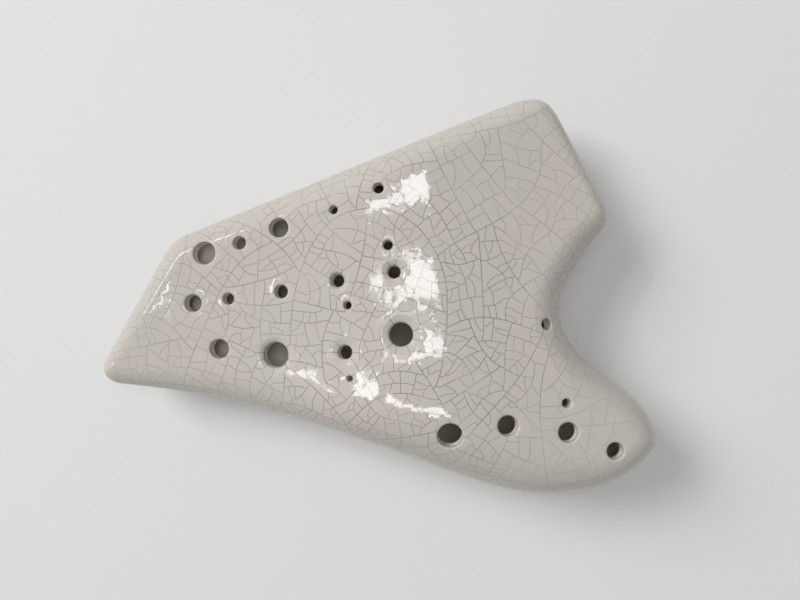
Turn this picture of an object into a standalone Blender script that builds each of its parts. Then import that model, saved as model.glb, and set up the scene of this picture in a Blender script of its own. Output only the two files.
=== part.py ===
"""A ceramic triple ocarina, as the clay pieces that are luted together with slip and fired.

Two moulded shells meet at a level seam. Two dividers part the hollow into a low, a middle and a
high chamber, and three blocks fill the mouthpiece and carry the windways. Lengths are in
millimetres and become metres in mesh_object. +Z points to the finger holes, the mouthpiece lies
towards +X and +Y, and the flat rest on the back lies at Z = 0.
"""

import math

import bmesh
import bpy
import numpy as np
from mathutils import Matrix, Vector
from mathutils.geometry import delaunay_2d_cdt, interpolate_bezier

for old in list(bpy.data.objects):
    bpy.data.objects.remove(old)

MM = 0.001

# Seam outline, anticlockwise from the tail: x, y, heading in degrees, width of the rounded edge
OUTLINE = (
    (-96.6, -33.0, -6.0, 7.0),
    (-52.4, -39.8, -13.5, 13.0),
    (4.6, -57.4, -19.5, 19.0),
    (38.8, -69.6, -17.5, 21.0),
    (63.5, -73.9, 1.0, 18.0),
    (97.5, -62.2, 45.0, 12.5),
    (103.7, -52.3, 90.0, 12.0),
    (98.0, -39.9, 131.0, 12.0),
    (80.7, -26.2, 143.0, 13.0),
    (68.0, -5.1, 93.0, 13.0),
    (78.0, 17.5, 59.0, 11.0),
    (86.1, 29.8, 90.0, 8.0),
    (81.1, 42.4, 118.0, 7.0),
    (68.6, 65.9, 118.0, 7.0),
    (58.8, 74.3, 180.0, 8.0),
    (44.4, 70.6, 202.0, 10.0),
    (-14.4, 46.8, 202.0, 14.0),
    (-72.8, 23.2, 202.0, 11.0),
    (-79.9, 16.7, 241.0, 9.0),
    (-101.6, -22.0, 241.0, 7.0),
    (-103.0, -27.2, 270.0, 5.0),
)
LIP_KNOTS = (12, 13)

# Thickness stations: x, y, height of the front above the seam, depth of the back below it, and the
# clay that is added on the back's inside, which makes the hollow shallow towards the tail
STATIONS = (
    (76.0, 54.0, 7.5, 7.5, 0.0),
    (40.0, 38.0, 15.0, 15.0, 0.0),
    (8.0, 6.0, 20.0, 25.5, 2.0),
    (27.0, -38.0, 24.0, 25.0, 0.0),
    (66.0, -50.0, 20.5, 22.0, 0.0),
    (98.0, -52.0, 15.0, 15.0, 0.0),
    (-34.0, 0.0, 15.0, 18.0, 8.0),
    (-46.0, 20.0, 9.5, 12.0, 7.0),
    (-72.0, 4.0, 8.0, 9.5, 4.0),
    (-98.0, -26.0, 7.0, 7.5, 2.0),
    (66.0, -6.0, 13.0, 14.0, 0.0),
)
FRONT = 2
BACK = 3
FILLING = 4
STATION_REACH = 26.0
REST_DEPTH = 21.0
REST_EASE = 0.8

# Clay
WALL = 4.5
SIDE_WALL = 4.5
LEAST_INNER_ROLL = 3.0
SLIP = 0.3
DIVIDER_THICKNESS = 3.5

# Finger holes on the front: x, y, diameter, diameter of the dish around the hole
LOW_HOLES = (
    (25.7, -48.4, 8.8, 0.0),
    (45.9, -45.1, 7.1, 0.0),
    (67.4, -47.8, 7.0, 0.0),
    (84.3, -54.6, 6.1, 0.0),
    (66.9, -37.6, 3.1, 0.0),
    (60.6, -10.0, 4.2, 0.0),
    (8.7, -13.4, 8.4, 13.6),
    (-11.0, -19.8, 4.9, 10.0),
    (-36.3, -21.1, 9.0, 12.6),
    (-57.3, -19.1, 7.0, 0.0),
    (-9.2, -28.9, 2.0, 0.0),
)
MIDDLE_HOLES = (
    (4.1, 18.1, 3.4, 0.0),
    (6.3, 8.6, 4.5, 8.8),
    (-13.8, 5.6, 4.5, 6.6),
    (-10.2, -3.2, 2.8, 0.0),
    (-34.4, 1.7, 4.8, 0.0),
    (-53.9, -0.9, 4.1, 0.0),
    (-67.1, -2.5, 6.2, 0.0),
)
HIGH_HOLES = (
    (0.7, 38.4, 3.7, 0.0),
    (-15.4, 30.9, 3.0, 0.0),
    (-35.4, 24.8, 6.9, 0.0),
    (-49.9, 19.4, 4.7, 0.0),
    (-63.0, 15.8, 8.2, 0.0),
)
# Thumb holes on the back, one for each thumb in the low chamber and one in the middle chamber
THUMB_HOLES = (
    (47.0, -34.0, 10.0, 14.0),
    (-16.0, -24.0, 8.4, 12.0),
    (-20.0, -1.5, 8.8, 12.2),
)
DISH_DEPTH = 0.9
LIP_CHAMFER = 0.7
HOLE_LEAN = 0.6
HOLE_CUT = 14.0

# Windways from the high to the low chamber: block width, mouth width, window width, windway length,
# cut-up from the windway's end to the labium
WINDWAYS = {
    "high": (12.0, 9.5, 8.0, 38.0, 4.3),
    "middle": (14.0, 11.5, 10.0, 42.0, 4.6),
    "low": (16.0, 13.0, 12.0, 46.0, 5.0),
}
WINDWAY_HEIGHT = 1.3
ROOF_BITE = 0.4
LABIUM_EDGE = 0.7
LABIUM_RAMP = 12.0
LIP_RUN = 6.0
RAMP_RUN_OUT = 4.0
LOW_BLOCK_SIDE = 5.0

# Divider paths from the blocks to the tail wall: x, y, heading in degrees. The first point of each
# is worked out from the blocks.
DIVIDER_HEADING = 208.0
LOW_DIVIDER_PATH = ((7.0, -2.5, 205.0), (-36.0, -10.8, 183.0), (-108.0, -14.0, 181.0))
HIGH_DIVIDER_PATH = ((4.0, 27.5, 200.0), (-48.0, 11.0, 196.0), (-98.0, -2.0, 194.0))

# Fineness of the facets
EDGE_STEP = 5.0
EDGE_TURN = 16.0
OUTER_BANDS = 5
INNER_BANDS = 3
FIELD_STEP = 7.0
LEAST_SPACING = 0.3
HOLE_SIDES = 16
SLOPE_STEP = 0.5

# How far a cutter reaches past the face that it opens
CUT_PAST = 10.0


def bezier_run(knots, closed):
    """Points along a smooth curve through knots of (x, y, heading, ...), with any further values
    carried along it."""
    pairs = list(zip(knots, knots[1:]))
    if closed:
        pairs.append((knots[-1], knots[0]))
    run = []
    for first, last in pairs:
        a = Vector(first[:2])
        b = Vector(last[:2])
        turn = abs((last[2] - first[2] + 180) % 360 - 180)
        reach = (b - a).length / (3 * math.cos(math.radians(turn / 4)) ** 2)
        ways = [Vector((math.cos(h), math.sin(h))) for h in map(math.radians, (first[2], last[2]))]
        steps = max(2, math.ceil((b - a).length / EDGE_STEP), math.ceil(turn / EDGE_TURN))
        curve = interpolate_bezier(a, a + ways[0] * reach, b - ways[1] * reach, b, steps + 1)
        for i in range(steps):
            share = i / steps
            carried = [p + (q - p) * share for p, q in zip(first[3:], last[3:])]
            run.append([*curve[i][:2], *carried])
    if not closed:
        run.append([*knots[-1][:2], *knots[-1][3:]])
    return np.array(run)


LOOP = bezier_run(OUTLINE, closed=True)
MIDDLE = (LOOP[:, :2].min(0) + LOOP[:, :2].max(0)) / 2
# Longer than the whole part, for blanks that the cast of the hollow trims
FAR = float(np.ptp(LOOP[:, :2], axis=0).max())


def inward_normals():
    """Unit vectors that point in from the outline's points."""
    ahead = np.roll(LOOP[:, :2], -1, 0) - LOOP[:, :2]
    ahead /= np.linalg.norm(ahead, axis=1)[:, None]
    along = ahead + np.roll(ahead, 1, 0)
    along /= np.linalg.norm(along, axis=1)[:, None]
    return np.column_stack((-along[:, 1], along[:, 0]))


INWARD = inward_normals()


def edge_distance(points):
    """How far points lie in from the outline, and the edge roll at the nearest place on it."""
    start = LOOP[:, :2]
    span = np.roll(start, -1, 0) - start
    offset = points[:, None] - start[None]
    share = np.clip((offset * span).sum(-1) / (span**2).sum(-1), 0, 1)
    gap = np.linalg.norm(offset - share[..., None] * span, axis=-1)
    near = gap.argmin(1)
    rows = np.arange(len(points))
    roll = LOOP[near, 2]
    roll = roll + (np.roll(LOOP[:, 2], -1)[near] - roll) * share[rows, near]
    return gap[rows, near], roll


def plateau(points, column):
    """Blend of one value of the thickness stations, with the flat rest worked into the back."""
    stations = np.array(STATIONS)
    away = ((points[:, None] - stations[None, :, :2]) ** 2).sum(-1)
    weight = np.exp(-away / (2 * STATION_REACH**2))
    level = (weight * stations[:, column]).sum(1) / weight.sum(1)
    if column != BACK:
        return level
    over = np.clip(level - (REST_DEPTH - REST_EASE), 0, 2 * REST_EASE)
    return np.minimum(level, REST_DEPTH + REST_EASE) - over**2 / (4 * REST_EASE)


def quarter_round(share):
    return np.sqrt(1 - (1 - np.clip(share, 0, 1)) ** 2)


def surface(points, side, inset=None):
    """Height of the front (side 1) or the back (side -1) over plan points. With an inset of
    (wall, side wall) it is the inner face."""
    points = np.asarray(points, float).reshape(-1, 2)
    level = plateau(points, FRONT if side > 0 else BACK)
    distance, roll = edge_distance(points)
    if inset:
        wall, side_wall = inset
        level = level - wall - (plateau(points, FILLING) if side < 0 else 0)
        roll = np.maximum(roll - side_wall, LEAST_INNER_ROLL)
        distance = distance - side_wall
    return side * level * quarter_round(distance / roll)


def point_height(x, y, side):
    return float(surface([(x, y)], side)[0])


def surface_normal(x, y, side):
    beside = [point_height(x + dx, y + dy, side) for dx, dy in
              ((SLOPE_STEP, 0), (-SLOPE_STEP, 0), (0, SLOPE_STEP), (0, -SLOPE_STEP))]
    slope = Vector((beside[1] - beside[0], beside[3] - beside[2], 2 * SLOPE_STEP))
    return slope.normalized() * side


def plan_net(bands, side_wall=0.0):
    """Triangles over the outline's inside, set in by side_wall, with rings along the rounded edge.
    The outline's own points come first."""
    reach = LOOP[:, 2] if side_wall == 0 else np.maximum(LOOP[:, 2] - side_wall, LEAST_INNER_ROLL)
    size = len(LOOP)
    plan = list(LOOP[:, :2] + INWARD * side_wall)
    spread = []
    for band in range(1, bands + 1):
        step = side_wall + reach * (1 - math.cos(math.pi / 2 * band / bands))
        ring = LOOP[:, :2] + INWARD * step[:, None]
        spread += list(ring[edge_distance(ring)[0] > step - 0.1])
    low = LOOP[:, :2].min(0)
    high = LOOP[:, :2].max(0)
    field = []
    for row, y in enumerate(np.arange(low[1], high[1], FIELD_STEP * math.sqrt(0.75))):
        start = low[0] + (row % 2) * FIELD_STEP / 2
        field += [(x, y) for x in np.arange(start, high[0], FIELD_STEP)]
    field = np.array(field)
    distance, roll = edge_distance(field)
    deep = np.maximum(roll, side_wall + LEAST_INNER_ROLL) + FIELD_STEP * 0.4
    spread += list(field[enclosed(field, LOOP[:, :2]) & (distance > deep)])
    for point in spread:
        if np.min(np.linalg.norm(np.array(plan) - point, axis=1)) > LEAST_SPACING:
            plan.append(point)
    plan = np.array(plan)
    edges = [(i, (i + 1) % size) for i in range(size)]
    verts, _, faces, _, _, _ = delaunay_2d_cdt([Vector(p) for p in plan], edges, [], 0, 1e-5, False)
    if len(verts) != len(plan):
        raise ValueError("the outline crosses itself when it is set in")
    kept = enclosed(np.array([plan[f].mean(0) for f in faces]), plan[:size])
    return plan, [f for f, keep in zip(faces, kept) if keep]


def enclosed(points, outline):
    """True for the points within a closed outline, by counting its crossings to the right."""
    ends = np.roll(outline, -1, 0)
    x = points[:, None, 0]
    y = points[:, None, 1]
    spans = (outline[:, 1] > y) != (ends[:, 1] > y)
    rise = np.where(ends[:, 1] == outline[:, 1], 1, ends[:, 1] - outline[:, 1])
    cross = outline[:, 0] + (y - outline[:, 1]) / rise * (ends[:, 0] - outline[:, 0])
    return (spans & (x < cross)).sum(1) % 2 == 1


def mesh_object(name, verts, faces, material=None):
    """A new object from points in millimetres."""
    mesh = bpy.data.meshes.new(name)
    mesh.from_pydata([tuple(c * MM for c in v) for v in verts], [], faces)
    mesh.validate()
    obj = bpy.data.objects.new(name, mesh)
    bpy.context.collection.objects.link(obj)
    if material:
        mesh.materials.append(material)
    return obj


def as_cutter(obj):
    obj.hide_render = True
    obj.display_type = "WIRE"
    obj.parent = SEAM
    return obj


def combine(obj, other, operation):
    modifier = obj.modifiers.new(f"{operation.lower()}_{other.name}", "BOOLEAN")
    modifier.operation = operation
    modifier.solver = "EXACT"
    modifier.object = other


def shell_mesh(side):
    """Vertices and faces of one shell: the outer face, the inner face and the land between them."""
    outer_plan, outer_faces = plan_net(OUTER_BANDS)
    inner_plan, inner_faces = plan_net(INNER_BANDS, SIDE_WALL)
    size = len(LOOP)
    outer_z = surface(outer_plan, side)
    outer_z[:size] = 0
    inner_z = surface(inner_plan, side, (WALL, SIDE_WALL))
    inner_z[:size] = 0
    verts = np.vstack((np.column_stack((outer_plan, outer_z)), np.column_stack((inner_plan, inner_z))))
    verts[:, 2] += side * SLIP / 2
    shift = len(outer_plan)
    faces = [f if side > 0 else f[::-1] for f in outer_faces]
    faces += [[shift + i for i in (f[::-1] if side > 0 else f)] for f in inner_faces]
    for i in range(size):
        j = (i + 1) % size
        land = [i, shift + i, shift + j, j]
        faces.append(land if side > 0 else land[::-1])
    return verts, faces


def cavity_core(side_gap=SLIP):
    """A cast of the hollow between the shells, a slip's thickness smaller all round."""
    inset = (WALL + side_gap, SIDE_WALL + side_gap)
    plan, faces = plan_net(INNER_BANDS, SIDE_WALL + side_gap)
    size = len(LOOP)
    top = surface(plan, 1, inset)
    bottom = surface(plan, -1, inset)
    top[:size] = 0
    shift = len(plan) - size
    verts = np.vstack((np.column_stack((plan, top)), np.column_stack((plan, bottom))[size:]))
    under = [[i if i < size else i + shift for i in f[::-1]] for f in faces]
    return as_cutter(mesh_object("cavity_core", verts, list(faces) + under))


def mouth_matrix():
    """The mouthpiece's own axes: X runs in from the lip along the windways, Y across them towards
    the low chamber, Z up."""
    a = Vector(OUTLINE[LIP_KNOTS[0]][:2])
    b = Vector(OUTLINE[LIP_KNOTS[1]][:2])
    across = (a - b).normalized()
    inwards = Vector((across.y, -across.x))
    ends = [Vector(OUTLINE[LIP_KNOTS[0] - 1][:2]), Vector(OUTLINE[LIP_KNOTS[1] + 1][:2])]
    middle = sum((e - a).dot(across) for e in ends) / 2
    origin = a + across * middle
    return Matrix((
        (inwards.x, across.x, 0, origin.x),
        (inwards.y, across.y, 0, origin.y),
        (0, 0, 1, 0),
        (0, 0, 0, 1),
    ))


MOUTH = mouth_matrix()


def in_mouth(x, y):
    """Plan point for x along and y across the mouthpiece."""
    return (MOUTH @ Vector((x, y, 0)))[:2]


def windway_layout():
    """Centre line and block sides of each windway across the mouthpiece."""
    edge = -sum(w[0] for w in WINDWAYS.values()) / 2
    layout = {}
    for name, (block, *_) in WINDWAYS.items():
        layout[name] = (edge + block / 2, edge, edge + block)
        edge += block
    return layout


LAYOUT = windway_layout()


def roof_height(x, y):
    """Height of a windway's roof, in the inner face of the back shell's wall."""
    place = np.array([in_mouth(x, y)])
    return float(WALL + plateau(place, FILLING)[0] - plateau(place, BACK)[0]) - ROOF_BITE


def prism(name, outline, z_low, z_high):
    """A closed prism over a plan outline that runs anticlockwise."""
    size = len(outline)
    verts = [(*p, z_low) for p in outline] + [(*p, z_high) for p in outline]
    faces = [list(range(size))[::-1], list(range(size, 2 * size))]
    for i in range(size):
        j = (i + 1) % size
        faces.append([i, j, size + j, size + i])
    return mesh_object(name, verts, faces)


def windway_cutter(name):
    """The slot of one windway, from outside the lip to just past its window's near edge."""
    _, mouth_width, window_width, length, cut_up = WINDWAYS[name]
    centre = LAYOUT[name][0]
    stations = [-CUT_PAST, 0.0, *np.linspace(LIP_RUN, length, 5), length + cut_up / 2]
    verts = []
    for x in stations:
        width = mouth_width + (window_width - mouth_width) * min(max(x, 0), length) / length
        roof = roof_height(max(x, LIP_RUN), centre)
        for across, z in ((-1, roof), (1, roof), (1, roof + WINDWAY_HEIGHT), (-1, roof + WINDWAY_HEIGHT)):
            verts.append((*in_mouth(x, centre + across * width / 2), z))
    faces = [[3, 2, 1, 0]]
    for i in range(len(stations) - 1):
        for k in range(4):
            n = (k + 1) % 4
            faces.append([4 * i + k, 4 * i + n, 4 * i + 4 + n, 4 * i + 4 + k])
    last = 4 * (len(stations) - 1)
    faces.append([last, last + 1, last + 2, last + 3])
    return as_cutter(mesh_object(f"cutter_windway_{name}", verts, faces))


def window_cutter(name):
    """The window through the back shell, with the ramp that leads down to its labium."""
    _, _, width, length, cut_up = WINDWAYS[name]
    centre = LAYOUT[name][0]
    edge = length + cut_up
    far = edge + LABIUM_RAMP
    inside = roof_height(edge, centre) + ROOF_BITE
    outside = point_height(*in_mouth(far, centre), -1) - SLIP / 2
    lip = inside - LABIUM_EDGE
    deep = -REST_DEPTH - CUT_PAST
    slope = (outside - lip) / LABIUM_RAMP
    profile = [
        (length, deep),
        (far + RAMP_RUN_OUT, deep),
        (far + RAMP_RUN_OUT, outside + slope * RAMP_RUN_OUT),
        (edge, lip),
        (edge, inside + CUT_PAST),
        (length, inside + CUT_PAST),
    ]
    verts = []
    for across in (-1, 1):
        verts += [(*in_mouth(x, centre + across * width / 2), z) for x, z in profile]
    size = len(profile)
    faces = [list(range(size)), list(range(size, 2 * size))[::-1]]
    for i in range(size):
        j = (i + 1) % size
        faces.append([j, i, size + i, size + j])
    return as_cutter(mesh_object(f"cutter_window_{name}", verts, faces))


def hole_cutters(name, holes, side):
    """One mesh of turned cutters, each with its dish or chamfer, that lean with the surface."""
    made = bmesh.new()
    for x, y, width, dish in holes:
        radius = width / 2
        mouth = dish / 2 if dish else radius + LIP_CHAMFER
        depth = DISH_DEPTH if dish else LIP_CHAMFER
        profile = [
            (radius, -HOLE_CUT),
            (radius, -depth),
            (mouth, 0.0),
            (mouth + (mouth - radius) * 2, depth * 2),
        ]
        normal = surface_normal(x, y, side)
        axis = (Vector((0, 0, side)) * (1 - HOLE_LEAN) + normal * HOLE_LEAN).normalized()
        turn = Vector((0, 0, 1)).rotation_difference(axis).to_matrix()
        foot = Vector((x, y, point_height(x, y, side) + side * SLIP / 2))
        rings = []
        for distance, along in profile:
            ring = []
            for k in range(HOLE_SIDES):
                angle = 2 * math.pi * k / HOLE_SIDES
                offset = Vector((distance * math.cos(angle), distance * math.sin(angle), along))
                ring.append(made.verts.new((foot + turn @ offset) * MM))
            rings.append(ring)
        for below, above in zip(rings, rings[1:]):
            for k in range(HOLE_SIDES):
                n = (k + 1) % HOLE_SIDES
                made.faces.new((below[k], below[n], above[n], above[k]))
        made.faces.new(rings[0][::-1])
        made.faces.new(rings[-1])
    mesh = bpy.data.meshes.new(name)
    made.to_mesh(mesh)
    made.free()
    obj = bpy.data.objects.new(name, mesh)
    bpy.context.collection.objects.link(obj)
    return as_cutter(obj)


def clay(name, colour, roughness):
    material = bpy.data.materials.new(name)
    material.use_nodes = True
    shader = material.node_tree.nodes["Principled BSDF"]
    shader.inputs["Base Color"].default_value = (*colour, 1)
    shader.inputs["Roughness"].default_value = roughness
    shader.inputs["Metallic"].default_value = 0
    return material


def finish(obj, angle=32):
    """Joins a piece to the seam's empty and shades it smooth between its true edges."""
    obj.parent = SEAM
    obj.data.shade_smooth()
    obj.data.set_sharp_from_angle(angle=math.radians(angle))


def make_shell(name, side, material):
    shell = mesh_object(name, *shell_mesh(side), material)
    finish(shell)
    return shell


def make_block(name, core, slot, material):
    """One windway block: the cast of the mouthpiece's hollow over its width, with the windway cut
    into the face towards the back shell."""
    _, low, high = LAYOUT[name]
    length = WINDWAYS[name][3]
    low += -FAR if name == "high" else SLIP / 2
    high += LOW_BLOCK_SIDE if name == "low" else -SLIP / 2
    outline = [in_mouth(*corner) for corner in ((-FAR, low), (length, low), (length, high), (-FAR, high))]
    block = prism(f"windway_block_{name}", outline, -FAR, FAR)
    block.data.materials.append(material)
    combine(block, core, "INTERSECT")
    combine(block, slot, "DIFFERENCE")
    finish(block)
    return block


def make_divider(name, start, path, core, material):
    """A wall between two chambers, along a path from the blocks to the tail."""
    run = bezier_run(((*start, DIVIDER_HEADING), *path), closed=False)
    ahead = np.gradient(run, axis=0)
    ahead /= np.linalg.norm(ahead, axis=1)[:, None]
    aside = np.column_stack((-ahead[:, 1], ahead[:, 0])) * DIVIDER_THICKNESS / 2
    outline = [tuple(p) for p in run - aside] + [tuple(p) for p in (run + aside)[::-1]]
    wall = prism(name, outline, -FAR, FAR)
    wall.data.materials.append(material)
    combine(wall, core, "INTERSECT")
    finish(wall)
    return wall


SEAM = bpy.data.objects.new("seam", None)
SEAM.location = (-MIDDLE[0] * MM, -MIDDLE[1] * MM, (REST_DEPTH + SLIP / 2) * MM)
bpy.context.collection.objects.link(SEAM)

glaze = clay("crackle_glaze", (0.52, 0.49, 0.46), 0.12)
bisque = clay("bisque", (0.55, 0.5, 0.44), 0.75)

front = make_shell("front_shell", 1, glaze)
back = make_shell("back_shell", -1, glaze)
combine(front, hole_cutters("cutter_finger_holes", LOW_HOLES + MIDDLE_HOLES + HIGH_HOLES, 1), "DIFFERENCE")
combine(back, hole_cutters("cutter_thumb_holes", THUMB_HOLES, -1), "DIFFERENCE")

hollow = cavity_core()
for chamber in WINDWAYS:
    slot_cutter = windway_cutter(chamber)
    make_block(chamber, hollow, slot_cutter, bisque)
    combine(back, slot_cutter, "DIFFERENCE")
    combine(back, window_cutter(chamber), "DIFFERENCE")

low_start = in_mouth(WINDWAYS["low"][3] + SLIP, LAYOUT["low"][1])
high_start = in_mouth(WINDWAYS["middle"][3] + SLIP, LAYOUT["high"][2])
make_divider("divider_low_middle", low_start, LOW_DIVIDER_PATH, hollow, bisque)
make_divider("divider_middle_high", high_start, HIGH_DIVIDER_PATH, hollow, bisque)
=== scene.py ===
"""A triple ocarina: crackle glazed shells, raw clay inside and a plain studio round it."""

import functools
import math

import bpy
import numpy as np
from mathutils import Matrix, Vector
from mathutils.geometry import delaunay_2d_cdt, interpolate_bezier
from mathutils.kdtree import KDTree


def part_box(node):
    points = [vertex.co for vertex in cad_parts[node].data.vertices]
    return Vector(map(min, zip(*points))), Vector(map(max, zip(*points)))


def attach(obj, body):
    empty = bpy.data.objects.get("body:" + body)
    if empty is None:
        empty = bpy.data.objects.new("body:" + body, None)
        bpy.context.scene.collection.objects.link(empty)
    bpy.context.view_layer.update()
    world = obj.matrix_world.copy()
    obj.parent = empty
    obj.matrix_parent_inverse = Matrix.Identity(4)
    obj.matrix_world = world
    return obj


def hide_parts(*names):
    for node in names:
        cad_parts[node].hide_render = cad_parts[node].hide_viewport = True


bl_info = {
    "name": "Triple ocarina",
    "version": (1, 0, 0),
    "blender": (4, 5, 0),
    "location": "3D View > Sidebar > Ocarina",
    "description": "Glazes the ocarina's shells, finishes its inner clay and sets up the stage",
    "category": "Object",
}

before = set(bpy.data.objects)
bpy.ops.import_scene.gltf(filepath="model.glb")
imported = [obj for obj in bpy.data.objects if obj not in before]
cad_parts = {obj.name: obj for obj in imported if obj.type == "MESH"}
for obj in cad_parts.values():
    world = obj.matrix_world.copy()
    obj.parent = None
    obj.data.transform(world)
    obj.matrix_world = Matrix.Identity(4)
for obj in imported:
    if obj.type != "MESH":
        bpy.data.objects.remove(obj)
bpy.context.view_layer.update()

INNER_CLAY = (
    "divider_low_middle",
    "divider_middle_high",
    "windway_block_high",
    "windway_block_middle",
    "windway_block_low",
)
MM = 0.001

# Seam outline, anticlockwise from the tail: x, y, heading in degrees, width of the rounded edge
OUTLINE = (
    (-96.6, -33.0, -6.0, 7.0),
    (-52.4, -39.8, -13.5, 13.0),
    (4.6, -57.4, -19.5, 19.0),
    (38.8, -69.6, -17.5, 21.0),
    (63.5, -73.9, 1.0, 18.0),
    (97.5, -62.2, 45.0, 12.5),
    (103.7, -52.3, 90.0, 12.0),
    (98.0, -39.9, 131.0, 12.0),
    (80.7, -26.2, 143.0, 13.0),
    (68.0, -5.1, 93.0, 13.0),
    (78.0, 17.5, 59.0, 11.0),
    (86.1, 29.8, 90.0, 8.0),
    (81.1, 42.4, 118.0, 7.0),
    (68.6, 65.9, 118.0, 7.0),
    (58.8, 74.3, 180.0, 8.0),
    (44.4, 70.6, 202.0, 10.0),
    (-14.4, 46.8, 202.0, 14.0),
    (-72.8, 23.2, 202.0, 11.0),
    (-79.9, 16.7, 241.0, 9.0),
    (-101.6, -22.0, 241.0, 7.0),
    (-103.0, -27.2, 270.0, 5.0),
)
LIP_KNOTS = (12, 13)

# Thickness stations: x, y, height of the front above the seam, depth of the back below it, and the
# clay that is added on the back's inside, which makes the hollow shallow towards the tail
STATIONS = (
    (76.0, 54.0, 7.5, 7.5, 0.0),
    (40.0, 38.0, 15.0, 15.0, 0.0),
    (8.0, 6.0, 20.0, 25.5, 2.0),
    (27.0, -38.0, 24.0, 25.0, 0.0),
    (66.0, -50.0, 20.5, 22.0, 0.0),
    (98.0, -52.0, 15.0, 15.0, 0.0),
    (-34.0, 0.0, 15.0, 18.0, 8.0),
    (-46.0, 20.0, 9.5, 12.0, 7.0),
    (-72.0, 4.0, 8.0, 9.5, 4.0),
    (-98.0, -26.0, 7.0, 7.5, 2.0),
    (66.0, -6.0, 13.0, 14.0, 0.0),
)
FRONT = 2
BACK = 3
FILLING = 4
STATION_REACH = 26.0
REST_DEPTH = 21.0
REST_EASE = 0.8

# Clay
WALL = 4.5
SIDE_WALL = 4.5
LEAST_INNER_ROLL = 3.0
SLIP = 0.3

# Finger holes on the front: x, y, diameter, diameter of the dish around the hole
LOW_HOLES = (
    (25.7, -48.4, 8.8, 0.0),
    (45.9, -45.1, 7.1, 0.0),
    (67.4, -47.8, 7.0, 0.0),
    (84.3, -54.6, 6.1, 0.0),
    (66.9, -37.6, 3.1, 0.0),
    (60.6, -10.0, 4.2, 0.0),
    (8.7, -13.4, 8.4, 13.6),
    (-11.0, -19.8, 4.9, 10.0),
    (-36.3, -21.1, 9.0, 12.6),
    (-57.3, -19.1, 7.0, 0.0),
    (-9.2, -28.9, 2.0, 0.0),
)
MIDDLE_HOLES = (
    (4.1, 18.1, 3.4, 0.0),
    (6.3, 8.6, 4.5, 8.8),
    (-13.8, 5.6, 4.5, 6.6),
    (-10.2, -3.2, 2.8, 0.0),
    (-34.4, 1.7, 4.8, 0.0),
    (-53.9, -0.9, 4.1, 0.0),
    (-67.1, -2.5, 6.2, 0.0),
)
HIGH_HOLES = (
    (0.7, 38.4, 3.7, 0.0),
    (-15.4, 30.9, 3.0, 0.0),
    (-35.4, 24.8, 6.9, 0.0),
    (-49.9, 19.4, 4.7, 0.0),
    (-63.0, 15.8, 8.2, 0.0),
)
# Thumb holes on the back, one for each thumb in the low chamber and one in the middle chamber
THUMB_HOLES = (
    (47.0, -34.0, 10.0, 14.0),
    (-16.0, -24.0, 8.4, 12.0),
    (-20.0, -1.5, 8.8, 12.2),
)
DISH_DEPTH = 0.9
HOLE_LEAN = 0.6

# Windways from the high to the low chamber: block width, mouth width, window width, windway length,
# cut-up from the windway's end to the labium
WINDWAYS = {
    "high": (12.0, 9.5, 8.0, 38.0, 4.3),
    "middle": (14.0, 11.5, 10.0, 42.0, 4.6),
    "low": (16.0, 13.0, 12.0, 46.0, 5.0),
}
WINDWAY_HEIGHT = 1.3
ROOF_BITE = 0.4
LABIUM_EDGE = 0.7
LABIUM_RAMP = 12.0
LIP_RUN = 6.0
RAMP_RUN_OUT = 4.0
WINDWAY_STATIONS = 5
# How far a cutter reaches past the face that it opens
CUT_PAST = 10.0

# Fineness of the glazed surface, in millimetres, degrees and counts
EDGE_STEP = 1.4
EDGE_TURN = 5.0
OUTER_BANDS = 14
INNER_BANDS = 5
FIELD_STEP = 2.4
FIELD_CLEARANCE = 0.4 * FIELD_STEP
HOLE_SIDES = 40
HOLE_CLEARANCE = 0.5
LIP = 0.8
LIP_RINGS = 4
DISH_RINGS = 4
LEAST_DISH = 0.01
WALL_RINGS = 4
ARC_STEPS = 12
SLOPE_STEP = 0.5
# How much nearer to the outline a ring's points may lie than the ring itself
RING_SLACK = 0.02
# Tries that bring a point onto a surface or to its foot on the outline, and the share of each move
FOOT_TRIES = 12
FOOT_SHARE = 0.8
RING_TRIES = 5
SETTLE_TRIES = 3
# Creases of the front and the back, in degrees
FRONT_CREASE = 50
BACK_CREASE = 30

# Crackle: x, y, greatest width of a cell between its cracks, how dark the cracks are stained
CELLS = np.array((
    (64.0, 52.0, 4.8, 0.6),
    (36.0, 46.0, 4.3, 0.75),
    (10.0, 22.0, 3.6, 0.95),
    (-30.0, 12.0, 3.7, 0.8),
    (-20.0, -25.0, 3.3, 0.9),
    (-50.0, -12.0, 3.7, 0.75),
    (-85.0, -10.0, 3.7, 0.6),
    (34.0, 2.0, 3.2, 1.0),
    (25.0, -24.0, 2.9, 1.0),
    (42.0, -27.0, 2.4, 1.0),
    (22.0, -52.0, 3.9, 0.75),
    (58.0, -50.0, 4.4, 0.5),
    (66.0, -6.0, 3.8, 0.5),
    (78.0, 24.0, 4.6, 0.55),
    (88.0, -55.0, 5.6, 0.25),
))
CELL_WIDTH = 2
DARKNESS = 3
CELL_REACH = 12.0
LEAST_WEIGHT = 1e-12
# Cells' widths vary between these shares of the table's
CELL_SPREAD = (0.8, 1.2)
CRACK_SEED = 11
MOST_CRACK_POINTS = 60000
# Each age of cracks leaves cells this many times wider than the last cells
CRACK_AGES = (9.0, 6.8, 5.2, 4.0, 3.1, 2.4, 1.9, 1.5, 1.2, 1.0)
# The first crack's direction, and how much the later ones start off square to the nearest crack
FIRST_CRACK = (1.0, 0.35, 0.0)
START_SPREAD = 0.8
# A crack's step as a share of the cell width, and the least and greatest step
CRACK_STEP = 0.18
CRACK_STEPS = (0.8, 1.2)
LONGEST_CRACK = 400
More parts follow.
